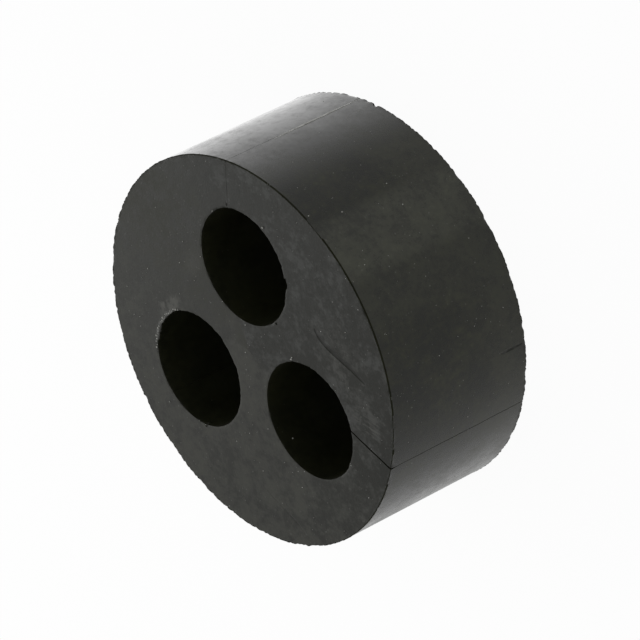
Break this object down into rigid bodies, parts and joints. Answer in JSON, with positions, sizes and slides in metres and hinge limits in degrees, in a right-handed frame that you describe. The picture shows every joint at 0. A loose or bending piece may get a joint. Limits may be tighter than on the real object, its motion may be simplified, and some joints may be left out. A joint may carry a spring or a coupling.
{
  "type": "cable gland sealing insert",
  "caption": "Thick round rubber insert for a cable gland, with evenly spaced cable bores that are each slit open to the outer wall.",
  "frame": {"origin": "centre of the back face, which the insert lies on", "axes": "+Z along the disc's axis, from the back face to the front face; +Y towards the first bore"},
  "size_m": [0.0266, 0.0266, 0.0114],
  "materials": {
    "black_rubber": "dull black rubber, a little dusty, with fine pale specks and knife-cut slits"
  },
  "bodies": {
    "root": {"sealing_insert": "black_rubber"}
  },
  "joints": []
}
